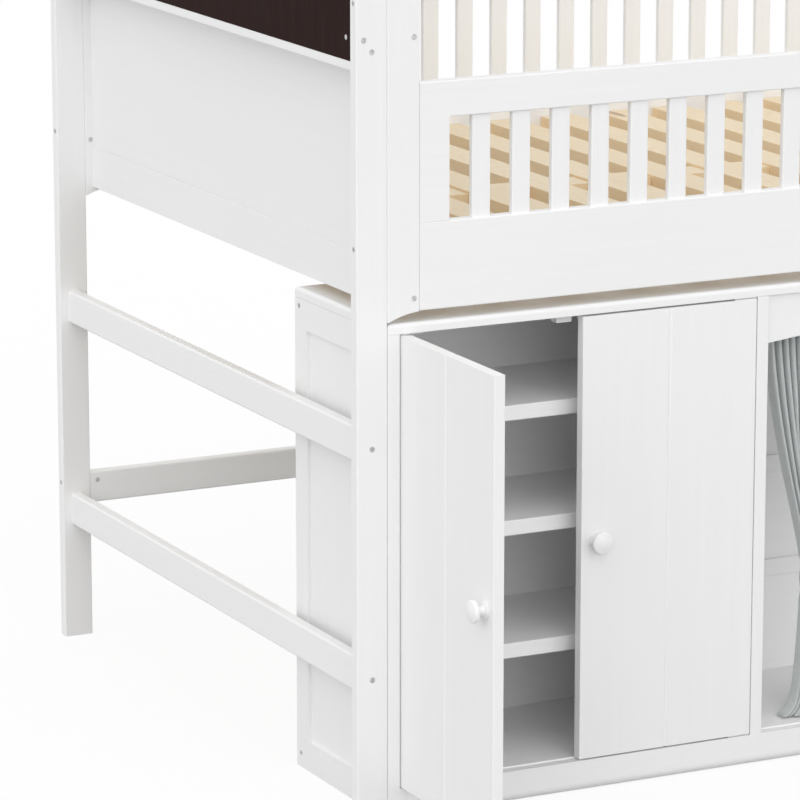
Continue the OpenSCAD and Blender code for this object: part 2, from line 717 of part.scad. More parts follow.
// Leaves let into the plinth and the top board, bored for the pins
module hinge_leaves(play = 0) for (hand = [0, 1], up = [0, 1])
  translate([hand == 0 ? pin_x_left : pin_x_right, pin_in, up == 1 ? cab_top_z : plinth_h])
    mirror([hand, 0, 0]) mirror([0, 0, 1 - up]) translate([0, 0, leaf_let - leaf_t])
      difference() {
        linear_extrude(leaf_t + play) leaf_outline(play);
        if (play == 0) translate([0, 0, -cut])
          cylinder(r = pin_r + pin_play, h = leaf_t + 2 * cut);
      }

// A door, its knob and its fittings are drawn with the hinge pins' axis at x = 0, y = 0
module at_door(hand) translate([hand == 0 ? pin_x_left : pin_x_right, pin_in, 0])
  rotate([0, 0, hand == 0 ? rest_angle : 0]) children();
module at_strike() translate([free_edge - catch_in, door_t - pin_in, door_z1 - strike_drop])
  rotate([-90, 0, 0]) translate([0, 0, strike_proud - strike_t]) children();

// Door of two boards with a groove between them, on both faces
module door(hand) color(paint) at_door(hand) difference() {
  mirror([hand, 0, 0]) difference() {
    bar_z([-pin_in, -pin_in, door_z0], [free_edge, door_t - pin_in, door_z1], fine_r);
    for (y = [-pin_in, door_t - pin_in]) translate([door_w / 2 - pin_in, y, door_z0 - cut])
      linear_extrude(door_z1 - door_z0 + 2 * cut)
        polygon([[-groove_w / 2, 0], [0, groove_t], [groove_w / 2, 0], [0, -groove_t]]);
    along_y(free_edge - knob_in, knob_z) translate([0, 0, -door_t])
      cylinder(r = screw_r + bolt_play, h = 2 * door_t);
    at_strike() cylinder(r = strike_r + leaf_play, h = door_t);
  }
  door_leaves(hand, leaf_play);
}

// Profile of a knob: a base that flares from the neck, and a domed head with a beaded rim
module knob_profile() difference() {
  union() {
    square([neck_r, knob_l - head_l + bead_r]);
    square([knob_base_d / 2, knob_l - head_l]);
    intersection() {
      translate([0, knob_l - dome_r]) circle(dome_r, $fn = 180);
      translate([0, knob_l - head_l]) square([knob_d / 2 - bead_r, head_l]);
    }
    translate([knob_d / 2 - bead_r, knob_l - head_l + bead_r]) circle(bead_r);
  }
  translate([neck_r + cove_r, knob_base_t + cove_r]) {
    circle(cove_r);
    translate([0, -cove_r]) square([knob_d, 2 * cove_r]);
  }
  translate([-cut, -cut]) square([cut + screw_r + bolt_play, screw_bite + 2 * cut]);
}
module knob(hand) color(paint) at_door(hand) mirror([hand, 0, 0])
  translate([free_edge - knob_in, -pin_in, knob_z]) rotate([90, 0, 0])
    rotate_extrude($fn = 72) knob_profile();

// What is fixed to a door: leaves with pins, the striker plate and the knob's screw
module door_fittings(hand) color(steel) at_door(hand) {
  door_leaves(hand);
  mirror([hand, 0, 0]) {
    at_strike() cylinder(r = strike_r, h = strike_t);
    along_y(free_edge - knob_in, knob_z) {
      translate([0, 0, -pin_in - screw_bite]) cylinder(r = screw_r, h = door_t + screw_bite);
      translate([0, 0, door_t - pin_in]) cylinder(r = screw_head_r, h = screw_head_h);
    }
  }
}

// Magnetic catches under the top board, one for each door
catch_xs = [bay_x0 + door_gap + door_w - catch_in, bay_x1 - door_gap - door_w + catch_in];
module door_catches_form() color(paint) for (x = catch_xs)
  translate([x - catch_w / 2, door_t + strike_proud + catch_gap, cab_top_z - catch_h])
    cube([catch_w, catch_d, catch_h]);

// Every bolt of the frame, and the barrel nuts
module frame_bolts_form() color(steel) {
  for (end = [0, 1], side = [0, 1]) at_bolts(end, side) {
    bolt(across_len);
    bolt(along_len);
  }
  for (end = [0, 1]) corner(end, 0) at_side_bolts() bolt(side_t + bolt_bite);
  floor_nuts();
  stile_nuts();
  chalk_nuts();
}

module post_front_left() place() post(0, 0);
module post_rear_left() place() post(0, 1);
module post_front_right() place() post(1, 0);
module post_rear_right() place() post(1, 1);
module stile_front_left() place() stile(0, 0);
module stile_rear_left() place() stile(0, 1);
module stile_front_right() place() stile(1, 0);
module stile_rear_right() place() stile(1, 1);
module stretchers_left() place() stretchers(0);
module stretchers_right() place() stretchers(1);
module rear_floor_rail() place() rear_floor_rail_form();
module side_rail_front() place() side_rail(0);
module side_rail_rear() place() side_rail(1);
module slat_ledgers() place() slat_ledgers_form();
module end_ledgers() place() end_ledgers_form();
module centre_beam() place() centre_beam_form();
module bed_slats() place() bed_slats_form();
module guard_frame_front() place() guard_frame_front_form();
module guard_slats_front() place() guard_slats(front_xs, rail_t / 2);
module guard_rail_rear() place() guard_rail_rear_form();
module guard_slats_rear() place() guard_slats(rear_xs, bed_w - rail_t / 2);
module headboard() place() headboard_form();
module head_shelf() place() head_board(head_shelf_z);
module chalkboard() place() chalkboard_form();
module chalkboard_cleat() place() chalkboard_cleat_form();
module book_rail() place() book_rail_form();
module head_top_board() place() head_board(head_top_z);
module foot_rail() place() foot_rail_form();
module foot_guard_rails() place() foot_guard_rails_form();
module foot_guard_slats() place() foot_guard_slats_form();
module ladder_uprights() place() ladder_uprights_form();
module ladder_rungs() place() ladder_rungs_form();
module cabinet_plinth() place() cabinet_plinth_form();
module cabinet_floor() place() cabinet_floor_form();
module cabinet_top() place() cabinet_top_form();
module side_frame_left() place() side_frame(0);
module side_frame_right() place() side_frame(1);
module side_panels() place() side_panels_form();
module cabinet_divider() place() cabinet_divider_form();
module back_frame() place() back_frame_form();
module back_panels() place() back_panels_form();
module shelf_lower() place() shelf(shelf_lower_z);
module shelf_middle() place() shelf(shelf_middle_z);
module shelf_upper() place() shelf(shelf_upper_z);
module valance() place() valance_form();
module curtain_rod() place() curtain_rod_form();
module rod_sockets() place() rod_sockets_form();
module curtain_left() place() color(cloth) in_nook(0) curtain_sheet();
module curtain_right() place() color(cloth) in_nook(1) curtain_sheet();
module tiebacks() place() tiebacks_form();
module door_left() place() door(0);
module door_right() place() door(1);
module knob_left() place() knob(0);
module knob_right() place() knob(1);
module hinge_plates() place() color(steel) hinge_leaves();
module door_fittings_left() place() door_fittings(0);
module door_fittings_right() place() door_fittings(1);
module door_catches() place() door_catches_form();
module frame_bolts() place() frame_bolts_form();

post_front_left();
post_rear_left();
post_front_right();
post_rear_right();
stile_front_left();
stile_rear_left();
stile_front_right();
stile_rear_right();
stretchers_left();
stretchers_right();
rear_floor_rail();
side_rail_front();
side_rail_rear();
slat_ledgers();
end_ledgers();
centre_beam();
bed_slats();
guard_frame_front();
guard_slats_front();
guard_rail_rear();
guard_slats_rear();
headboard();
head_shelf();
chalkboard();
chalkboard_cleat();
book_rail();
head_top_board();
foot_rail();
foot_guard_rails();
foot_guard_slats();
ladder_uprights();
ladder_rungs();
cabinet_plinth();
cabinet_floor();
cabinet_top();
side_frame_left();
side_frame_right();
side_panels();
cabinet_divider();
back_frame();
back_panels();
shelf_lower();
shelf_middle();
shelf_upper();
valance();
curtain_rod();
rod_sockets();
curtain_left();
curtain_right();
tiebacks();
door_left();
door_right();
knob_left();
knob_right();
hinge_plates();
door_fittings_left();
door_fittings_right();
door_catches();
frame_bolts();
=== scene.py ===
"""Looks of the loft bed: the finish of every piece, the gathered curtains with their bands, and a plain studio."""

import logging
import math
from dataclasses import dataclass
from enum import Enum
from typing import Any

import bpy
import numpy as np
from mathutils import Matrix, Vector


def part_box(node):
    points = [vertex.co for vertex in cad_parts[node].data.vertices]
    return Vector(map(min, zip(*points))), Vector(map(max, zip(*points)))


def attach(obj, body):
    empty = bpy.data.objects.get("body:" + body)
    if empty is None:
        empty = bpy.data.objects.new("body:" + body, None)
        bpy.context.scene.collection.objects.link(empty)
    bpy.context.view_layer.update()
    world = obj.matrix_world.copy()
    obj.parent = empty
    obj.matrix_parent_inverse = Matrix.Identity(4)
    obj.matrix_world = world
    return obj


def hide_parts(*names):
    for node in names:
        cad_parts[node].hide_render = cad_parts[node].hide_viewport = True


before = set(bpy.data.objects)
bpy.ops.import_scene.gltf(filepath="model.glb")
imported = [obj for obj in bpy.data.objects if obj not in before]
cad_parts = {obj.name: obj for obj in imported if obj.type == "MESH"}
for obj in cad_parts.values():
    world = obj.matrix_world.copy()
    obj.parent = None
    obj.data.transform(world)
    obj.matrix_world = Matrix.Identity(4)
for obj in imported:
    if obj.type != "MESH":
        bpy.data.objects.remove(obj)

log = logging.getLogger("loft_bed")

MM = 0.001
Colour = tuple[float, float, float, float]


class Grain(Enum):
    """The way a board's grain runs, as the axis of the bed that it follows."""

    ALONG = 0
    ACROSS = 1
    UPRIGHT = 2


class Socket:
    """A socket that joins in Python arithmetic, where each operation adds a Math node."""

    def __init__(self, nodes: "Nodes", socket: bpy.types.NodeSocket) -> None:
        """Keeps the node tree that the socket belongs to."""
        self.nodes = nodes
        self.socket = socket

    def _math(self, operation: str, *terms: "Socket | float") -> "Socket":
        """Adds one Math node on the given terms."""
        return self.nodes.node("ShaderNodeMath", {"operation": operation}, dict(enumerate(terms)))

    def __add__(self, other: "Socket | float") -> "Socket":
        """Sum."""
        return self._math("ADD", self, other)

    def __radd__(self, other: float) -> "Socket":
        """Sum with a number on the left."""
        return self._math("ADD", other, self)

    def __sub__(self, other: "Socket | float") -> "Socket":
        """Difference."""
        return self._math("SUBTRACT", self, other)

    def __rsub__(self, other: float) -> "Socket":
        """A number less this."""
        return self._math("SUBTRACT", other, self)

    def __mul__(self, other: "Socket | float") -> "Socket":
        """Product."""
        return self._math("MULTIPLY", self, other)

    def __rmul__(self, other: float) -> "Socket":
        """Product with a number on the left."""
        return self._math("MULTIPLY", other, self)

    def __truediv__(self, other: "Socket | float") -> "Socket":
        """Quotient."""
        return self._math("DIVIDE", self, other)

    def __pow__(self, other: "Socket | float") -> "Socket":
        """Power."""
        return self._math("POWER", self, other)

    def __lt__(self, other: "Socket | float") -> "Socket":
        """1 where this is less than the other, and 0 elsewhere."""
        return self._math("LESS_THAN", self, other)

    def __abs__(self) -> "Socket":
        """The number without its sign."""
        return self._math("ABSOLUTE", self)

    def larger(self, other: "Socket | float") -> "Socket":
        """The larger of two numbers."""
        return self._math("MAXIMUM", self, other)

    def floor(self) -> "Socket":
        """The whole number below."""
        return self._math("FLOOR", self)

    def wave(self) -> "Socket":
        """A sine that runs from 0 to 1."""
        return self._math("SINE", self) * 0.5 + 0.5

    def between(self, low: float, high: float) -> "Socket":
        """A smooth step from 0 at low to 1 at high."""
        ends = {"Value": self, "From Min": low, "From Max": high}
        return self.nodes.node("ShaderNodeMapRange", {"interpolation_type": "SMOOTHSTEP"}, ends)

    def beside(self, name: str | int) -> "Socket":
        """Another output of the same node."""
        return Socket(self.nodes, self.socket.node.outputs[name])


class Nodes:
    """A node tree that starts empty."""

    def __init__(self, owner: bpy.types.Material | bpy.types.World) -> None:
        """Empties the owner's node tree.

        Args:
            owner: the material or world whose nodes these are.
        """
        owner.use_nodes = True
        self.tree = owner.node_tree
        self.tree.nodes.clear()

    def node(
        self,
        kind: str,
        settings: dict[str, Any] | None = None,
        inputs: dict[str | int, "Socket | float | tuple"] | None = None,
        output: str | int = 0,
    ) -> Socket:
        """Adds a node of any type.

        Args:
            kind: the node's type, as Blender names it.
            settings: its properties.
            inputs: values for its sockets, or sockets that link to them.
            output: the name or number of the output that is wanted.

        Returns:
            That output.
        """
        made = self.tree.nodes.new(kind)
        for name, value in (settings or {}).items():
            setattr(made, name, value)
        self._fill(made, inputs or {})
        return Socket(self, made.outputs[output])

    def _fill(self, node: bpy.types.Node, inputs: dict[str | int, "Socket | float | tuple"]) -> None:
        """Links or sets a node's inputs.

        Args:
            node: the node.
            inputs: values for its sockets, or sockets that link to them.
        """
        for key, value in inputs.items():
            if isinstance(value, Socket):
                self.tree.links.new(value.socket, node.inputs[key])
            else:
                node.inputs[key].default_value = value

    def close(self, kind: str, surface: Socket) -> None:
        """Adds the output node and links the surface to it."""
        self._fill(self.tree.nodes.new(kind), {"Surface": surface})

    def seen_directly(self) -> Socket:
        """1 for rays from the camera and for mirrored or refracted ones, and 0 for the light on other things."""
        camera = self.node("ShaderNodeLightPath", output="Is Camera Ray")
        return camera.larger(camera.beside("Is Glossy Ray")).larger(camera.beside("Is Transmission Ray"))


class Shader(Nodes):
    """The node tree of one material, around one Principled BSDF."""

    def __init__(self, name: str) -> None:
        """Makes the material with its shader and its output.

        Args:
            name: the material's name.
        """
        self.material = bpy.data.materials.new(name)
        super().__init__(self.material)
        surface = self.node("ShaderNodeBsdfPrincipled")
        self.principled = surface.socket.node
        self.close("ShaderNodeOutputMaterial", surface)

    def place(self) -> Socket:
        """Object coordinates, which are the bed's own frame in metres."""
        return self.node("ShaderNodeTexCoord", output="Object")

    def facing(self) -> Socket:
        """The direction in which the surface faces, in the bed's own frame."""
        return self.node("ShaderNodeTexCoord", output="Normal")

    def scaled(self, vector: Socket, factors: tuple[float, float, float]) -> Socket:
        """A vector multiplied along each axis."""
        return self.node("ShaderNodeVectorMath", {"operation": "MULTIPLY"}, {0: vector, 1: factors})

    def moved(self, vector: Socket, shift: Socket) -> Socket:
        """A vector plus another one."""
        return self.node("ShaderNodeVectorMath", {"operation": "ADD"}, {0: vector, 1: shift})

    def axes(self, vector: Socket) -> tuple[Socket, Socket, Socket]:
        """A vector's three numbers."""
        x = self.node("ShaderNodeSeparateXYZ", inputs={0: vector})
        return x, x.beside(1), x.beside(2)

    def vector(self, x: Socket, y: Socket, z: Socket) -> Socket:
        """A vector of three numbers."""
        return self.node("ShaderNodeCombineXYZ", inputs={0: x, 1: y, 2: z})

    def noise(self, vector: Socket, scale: float = 1.0, detail: float = 3.0, rough: float = 0.5) -> Socket:
        """Smooth noise about 0.5."""
        inputs = {"Vector": vector, "Scale": scale, "Detail": detail, "Roughness": rough}
        return self.node("ShaderNodeTexNoise", inputs=inputs)

    def chance(self, value: Socket) -> Socket:
        """A random number from 0 to 1 that depends on a value."""
        return self.node("ShaderNodeTexWhiteNoise", {"noise_dimensions": "1D"}, {"W": value})

    def blend(self, factor: "Socket | float", low: "Socket | Colour", high: "Socket | Colour") -> Socket:
        """A mix of two colours: low at factor 0 and high at factor 1."""
        return self.node("ShaderNodeMix", {"data_type": "RGBA"}, {0: factor, 6: low, 7: high}, output=2)

    def dress(
        self, height: Socket | None = None, depth: float = 0.1 * MM, **sockets: "Socket | float | tuple"
    ) -> None:
        """Sets the surface's sockets.

        Args:
            height: relief from 0 to 1, which feeds a Bump node.
            depth: the relief's depth in metres.
            **sockets: values or links by the socket's name, with underscores for its spaces.
        """
        if height is not None:
            sockets["Normal"] = self.node("ShaderNodeBump", inputs={"Height": height, "Distance": depth})
        self._fill(self.principled, {name.replace("_", " "): value for name, value in sockets.items()})


def stretch(grain: Grain, along: float, across: float) -> tuple[float, float, float]:
    """Scale factors for a pattern that is long in the direction of the grain.

    Args:
        grain: the direction of the grain.
        along: the pattern's waves per metre along the grain.
        across: its waves per metre across the grain.

    Returns:
        The three factors.
    """
    factors = [across] * 3
    factors[grain.value] = along
    return tuple(factors)


@dataclass(frozen=True)
class WhitePaint:
    """Satin paint over planed boards: a soft drift of tone, faint grain under the paint, and a fine orange peel.

    Here and in the other finishes, a pattern's scale is in waves per metre. Where it has two numbers, they are the
    scales along and across the grain.
    """

    name: str
    grain: Grain
    tone: Colour = (0.905, 0.905, 0.904, 1.0)
    shade: Colour = (0.889, 0.890, 0.889, 1.0)
    roughness: float = 0.42
    relief: float = 0.05 * MM
    drift_scale: float = 2.2
    streak_scale: tuple[float, float] = (2.5, 90.0)
    fibre_scale: tuple[float, float] = (9.0, 420.0)
    peel_scale: float = 620.0

    def material(self) -> bpy.types.Material:
        """Builds the material.

        Returns:
            The new material.
        """
        s = Shader(self.name)
        place = s.place()
        drift = s.noise(place, self.drift_scale, detail=2.0)
        streaks = s.noise(s.scaled(place, stretch(self.grain, *self.streak_scale)), detail=4.0, rough=0.62)
        fibres = s.noise(s.scaled(place, stretch(self.grain, *self.fibre_scale)), rough=0.6)
        peel = s.noise(place, self.peel_scale, detail=2.0)
        worn = (drift * 0.45 + streaks * 0.55).between(0.36, 0.64)
        s.dress(
            height=fibres * 0.55 + streaks * 0.25 + peel * 0.2,
            depth=self.relief,
            Base_Color=s.blend(worn, self.shade, self.tone),
            Roughness=self.roughness + (peel - 0.5) * 0.10 + (streaks - 0.5) * 0.12,
        )
        return s.material


@dataclass(frozen=True)
class BarePine:
    """Planed pine: growth rings cut lengthwise, each board with its own, a few knots, and a fibrous surface.

    The boards' upright faces are painted a little warmer than their tops. This is painted bounce light: the warm
    light reflected between the slats onto their shaded sides.
    """

    name: str
    grain: Grain
    row: Grain
    start: float
    pitch: float
    early: Colour = (0.900, 0.775, 0.570, 1.0)
    late: Colour = (0.740, 0.545, 0.320, 1.0)
    # edge: a warm tint for the upright faces. It is painted bounce light on the slats' shaded sides, not a colour of
    # the wood.
    edge: Colour = (0.960, 0.720, 0.430, 1.0)
    knot: Colour = (0.300, 0.165, 0.080, 1.0)
    rings: float = 40.0
    relief: float = 0.2 * MM
    ring_scale: tuple[float, float] = (0.9, 9.0)
    fibre_scale: tuple[float, float] = (14.0, 700.0)
    knot_scale: tuple[float, float] = (2.1, 9.0)
    knot_size: tuple[float, float] = (0.06, 0.12)
    offsets: tuple[float, float, float] = (7.0, 11.0, 5.0)

    def material(self) -> bpy.types.Material:
        """Builds the material.

        Returns:
            The new material.
        """
        s = Shader(self.name)
        place = s.place()
        board = ((s.axes(place)[self.row.value] - self.start) / self.pitch).floor()
        own = s.chance(board)
        shifted = s.moved(place, s.vector(*(own * offset for offset in self.offsets)))
        field = s.noise(s.scaled(shifted, stretch(self.grain, *self.ring_scale)), detail=1.5, rough=0.45)
        rings = (field * self.rings * 2 * math.pi).wave() ** 1.8
        fibres = s.noise(s.scaled(shifted, stretch(self.grain, *self.fibre_scale)), rough=0.6)
        spotted = s.scaled(shifted, stretch(self.grain, *self.knot_scale))
        spots = s.node("ShaderNodeTexVoronoi", {"feature": "F1"}, {"Vector": spotted, "Scale": 1.0})
        knots = 1.0 - spots.between(*self.knot_size)
        wood = s.blend(rings * 0.22 + fibres * 0.10, self.early, self.late)
        toned = s.blend(own * 0.14, wood, self.late)
        # Painted bounce light: the upright faces, which lie in the slats' shade, are tinted warm, as light reflected
        # between the slats would colour them.
        painted_bounce_mask = 1.0 - abs(s.axes(s.facing())[2]).between(0.3, 0.7)
        with_painted_bounce = s.blend(painted_bounce_mask * 0.6, toned, self.edge)
        s.dress(
            height=rings * 0.3 + fibres * 0.7,
            depth=self.relief,
            Base_Color=s.blend(knots * 0.6, with_painted_bounce, self.knot),
            Roughness=0.58 + (fibres - 0.5) * 0.2 - rings * 0.06,
        )
        return s.material


@dataclass(frozen=True)
class DarkBoard:
    """A dark chalkboard: a near-black brown with fine upright grain and the haze of wiped chalk."""

    name: str
    tone: Colour = (0.0185, 0.0074, 0.0062, 1.0)
    vein: Colour = (0.0265, 0.0125, 0.0110, 1.0)
    haze: Colour = (0.075, 0.066, 0.064, 1.0)
    relief: float = 0.1 * MM
    vein_scale: tuple[float, float] = (7.0, 420.0)
    haze_scale: tuple[float, float, float] = (3.0, 3.4, 5.5)

    def material(self) -> bpy.types.Material:
        """Builds the material.

        Returns:
            The new material.
        """
        s = Shader(self.name)
        place = s.place()
        veins = s.noise(s.scaled(place, stretch(Grain.UPRIGHT, *self.vein_scale)), rough=0.6)
        wiped = s.noise(s.scaled(place, self.haze_scale), rough=0.55).between(0.5, 0.78)
        grained = s.blend(veins.between(0.4, 0.7), self.tone, self.vein)
        s.dress(
            height=veins,
            depth=self.relief,
            Base_Color=s.blend(wiped * 0.10, grained, self.haze),
            Roughness=0.78 + wiped * 0.08 - (veins - 0.5) * 0.1,
            Specular_IOR_Level=0.10,
        )
        return s.material


@dataclass(frozen=True)
class ZincSteel:
    """Zinc-plated steel: a pale grey metal, dulled by handling."""

    name: str
    tone: Colour = (0.66, 0.665, 0.67, 1.0)
    dull: Colour = (0.52, 0.525, 0.53, 1.0)
    relief: float = 0.04 * MM
    spangle_scale: float = 180.0
    scuff_scale: tuple[float, float, float] = (900.0, 900.0, 120.0)

    def material(self) -> bpy.types.Material:
        """Builds the material.

        Returns:
            The new material.
        """
        s = Shader(self.name)
        place = s.place()
        spangle = s.noise(place, self.spangle_scale)
        scuffs = s.noise(s.scaled(place, self.scuff_scale), detail=2.0)
        s.dress(
            height=scuffs,
            depth=self.relief,
            Base_Color=s.blend(spangle.between(0.4, 0.62), self.dull, self.tone),
            Roughness=0.42 + spangle * 0.16 + scuffs * 0.06,
            Metallic=0.9,
        )
        return s.material


@dataclass(frozen=True)
class LacqueredSteel:
    """White lacquer on steel: smoother than the boards' paint, with a slight ripple and a trace of wear."""

    name: str
    tone: Colour = (0.840, 0.840, 0.836, 1.0)
    worn: Colour = (0.700, 0.700, 0.700, 1.0)
    relief: float = 0.06 * MM
    ripple_scale: float = 90.0
    rub_scale: float = 260.0

    def material(self) -> bpy.types.Material:
        """Builds the material.

        Returns:
            The new material.
        """
        s = Shader(self.name)
        place = s.place()
        ripple = s.noise(place, self.ripple_scale, detail=2.0)
        rubbed = s.noise(place, self.rub_scale, detail=4.0, rough=0.6).between(0.6, 0.78)
        s.dress(
            height=ripple,
            depth=self.relief,
            Base_Color=s.blend(rubbed * 0.3, self.tone, self.worn),
            Roughness=0.3 + rubbed * 0.15,
        )
        return s.material


@dataclass(frozen=True)
class CottonCloth:
    """Plain-woven cotton, with thick places in its yarns and a row of stitches along each hem.

    The length is the cloth's from hem to hem, and the stitches lie at the distance called hem from either end.
    """

    name: str
    length: float
    hem: float
    tone: Colour = (0.710, 0.737, 0.732, 1.0)
    deep: Colour = (0.560, 0.588, 0.583, 1.0)
    stitch: Colour = (0.780, 0.800, 0.796, 1.0)
    relief: float = 0.5 * MM
    thread: float = 1.1 * MM
    stitch_long: float = 4.5 * MM
    stitch_wide: float = 1.4 * MM
    slub_scale: tuple[float, float] = (28.0, 700.0)
    worn_scale: float = 7.0

    def material(self) -> bpy.types.Material:
        """Builds the material, which reads the cloth's flat UV map in metres.

        Returns:
            The new material.
        """
        s = Shader(self.name)
        flat = s.node("ShaderNodeUVMap", {"uv_map": "cloth"})
        u, v, _ = s.axes(flat)
        turn = 2 * math.pi / self.thread
        warp, weft = (u * turn).wave(), (v * turn).wave()
        coarse, fine = self.slub_scale
        slubs_u = s.noise(s.scaled(flat, (fine, coarse, 1.0)), rough=0.6)
        slubs_v = s.noise(s.scaled(flat, (coarse, fine, 1.0)), rough=0.6)
        worn = s.noise(flat, self.worn_scale, rough=0.55)
        row = self._row(v, self.hem) + self._row(v, self.length - self.hem)
        dashes = (u * (2 * math.pi / self.stitch_long)).wave().between(0.25, 0.5)
        seam = row * dashes
        body = s.blend((slubs_u + slubs_v) * 0.3 + worn * 0.4, self.deep, self.tone)
        s.dress(
            height=warp * 0.25 + weft * 0.25 + (slubs_u + slubs_v) * 0.2 - row * 0.6 + seam * 0.5,
            depth=self.relief,
            Base_Color=s.blend(seam * 0.6, body, self.stitch),
            Roughness=0.82 + (worn - 0.5) * 0.1,
            Sheen_Weight=0.03,
            Sheen_Roughness=0.5,
            Specular_IOR_Level=0.25,
        )
        return s.material

    def _row(self, v: Socket, place: float) -> Socket:
        """1 on a line of stitches at a distance along the cloth, and 0 elsewhere."""
        return abs(v - place) < self.stitch_wide / 2


@dataclass(frozen=True)
class MouldedPlastic:
    """White moulded plastic with a fine spark-eroded grain."""

    name: str
    tone: Colour = (0.78, 0.78, 0.77, 1.0)
    shade: Colour = (0.72, 0.72, 0.71, 1.0)
    relief: float = 0.05 * MM
    grain_scale: float = 900.0
    drift_scale: float = 30.0

    def material(self) -> bpy.types.Material:
        """Builds the material.

        Returns:
            The new material.
        """
        s = Shader(self.name)
        place = s.place()
        grain = s.noise(place, self.grain_scale, detail=2.0)
        s.dress(
            height=grain,
            depth=self.relief,
            Base_Color=s.blend(s.noise(place, self.drift_scale, detail=2.0), self.shade, self.tone),
            Roughness=0.45 + grain * 0.12,
        )
        return s.material


def span(node: str) -> tuple[np.ndarray, np.ndarray]:
    """The lowest and highest corner of a CAD node, as arrays."""
    low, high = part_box(node)
    return np.array(low), np.array(high)


def finish_nodes(material: bpy.types.Material, *nodes: str) -> None:
    """Gives CAD nodes their material.

    Args:
        material: the material.
        *nodes: the names of the nodes.
    """
    for name in nodes:
        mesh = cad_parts[name].data
        mesh.materials.clear()
        mesh.materials.append(material)
    log.info("%s: %s", material.name, ", ".join(nodes))


@dataclass
class PaintedFrame:
    """Posts, stiles, rails, guards, ladder and headboard, painted with the grain along each piece."""

    upright: tuple[str, ...] = (
        "post_front_left", "post_rear_left", "post_front_right", "post_rear_right",
        "stile_front_left", "stile_rear_left", "stile_front_right", "stile_rear_right",
        "guard_slats_front", "guard_slats_rear", "foot_guard_slats", "ladder_uprights",
    )
    along: tuple[str, ...] = (
        "rear_floor_rail", "side_rail_front", "side_rail_rear", "guard_frame_front", "guard_rail_rear",
    )
    across: tuple[str, ...] = (
        "stretchers_left", "stretchers_right", "headboard", "head_shelf", "chalkboard_cleat", "book_rail",
        "head_top_board", "foot_rail", "foot_guard_rails", "ladder_rungs",
    )

    def dress(self) -> None:
        """Paints the frame and finishes the chalkboard."""
        finish_nodes(WhitePaint("paint_upright", Grain.UPRIGHT).material(), *self.upright)
        finish_nodes(WhitePaint("paint_along", Grain.ALONG).material(), *self.along)
        finish_nodes(WhitePaint("paint_across", Grain.ACROSS).material(), *self.across)
        finish_nodes(DarkBoard("chalkboard").material(), "chalkboard")


@dataclass
class Deck:
    """Pine slats, the beam under them and their ledgers."""

    slat_width: float = 79 * MM
    slat_count: int = 13

    def dress(self) -> None:
        """Finishes each slat as a board of its own, and the beam and ledgers as boards along the bed."""
        low, high = span("bed_slats")
        pitch = (high[0] - low[0] - self.slat_width) / (self.slat_count - 1)
        start = low[0] - (pitch - self.slat_width) / 2
        finish_nodes(BarePine("pine_slats", Grain.ACROSS, Grain.ALONG, start, pitch).material(), "bed_slats")
        beam_pine = BarePine("pine_beam", Grain.ALONG, Grain.ACROSS, 0.0, 1.0)
        finish_nodes(beam_pine.material(), "centre_beam", "slat_ledgers")
        end_pine = BarePine("pine_ends", Grain.ACROSS, Grain.ALONG, 0.0, 1.0)
        finish_nodes(end_pine.material(), "end_ledgers")


@dataclass
class Cabinet:
    """Carcass, shelves, doors and knobs, painted like the frame."""

    along: tuple[str, ...] = (
        "cabinet_plinth", "cabinet_floor", "cabinet_top", "shelf_lower", "shelf_middle", "shelf_upper",
        "valance", "back_frame", "back_panels",
    )
    upright: tuple[str, ...] = (
        "side_frame_left", "side_frame_right", "side_panels", "cabinet_divider", "door_left", "door_right",
    )
    knobs: tuple[str, ...] = ("knob_left", "knob_right")
    lacquered: tuple[str, ...] = ("door_fittings_left", "door_fittings_right")
    zinc: tuple[str, ...] = ("hinge_plates", "curtain_rod", "rod_sockets", "frame_bolts")

    def dress(self) -> None:
        """Paints the cabinet and finishes its fittings."""
        finish_nodes(WhitePaint("paint_cabinet_along", Grain.ALONG).material(), *self.along)
        finish_nodes(WhitePaint("paint_cabinet_upright", Grain.UPRIGHT).material(), *self.upright)
        knob_paint = WhitePaint("paint_knobs", Grain.ACROSS, roughness=0.32, relief=0.03 * MM)
        finish_nodes(knob_paint.material(), *self.knobs)
        finish_nodes(LacqueredSteel("lacquered_steel").material(), *self.lacquered)
        finish_nodes(ZincSteel("zinc_steel").material(), *self.zinc)
        finish_nodes(MouldedPlastic("white_plastic").material(), "door_catches")


def smooth(x: np.ndarray) -> np.ndarray:
    """The smooth step 3x^2 - 2x^3 of x, held between 0 and 1."""
    x = np.clip(x, 0.0, 1.0)
    return x * x * (3.0 - 2.0 * x)


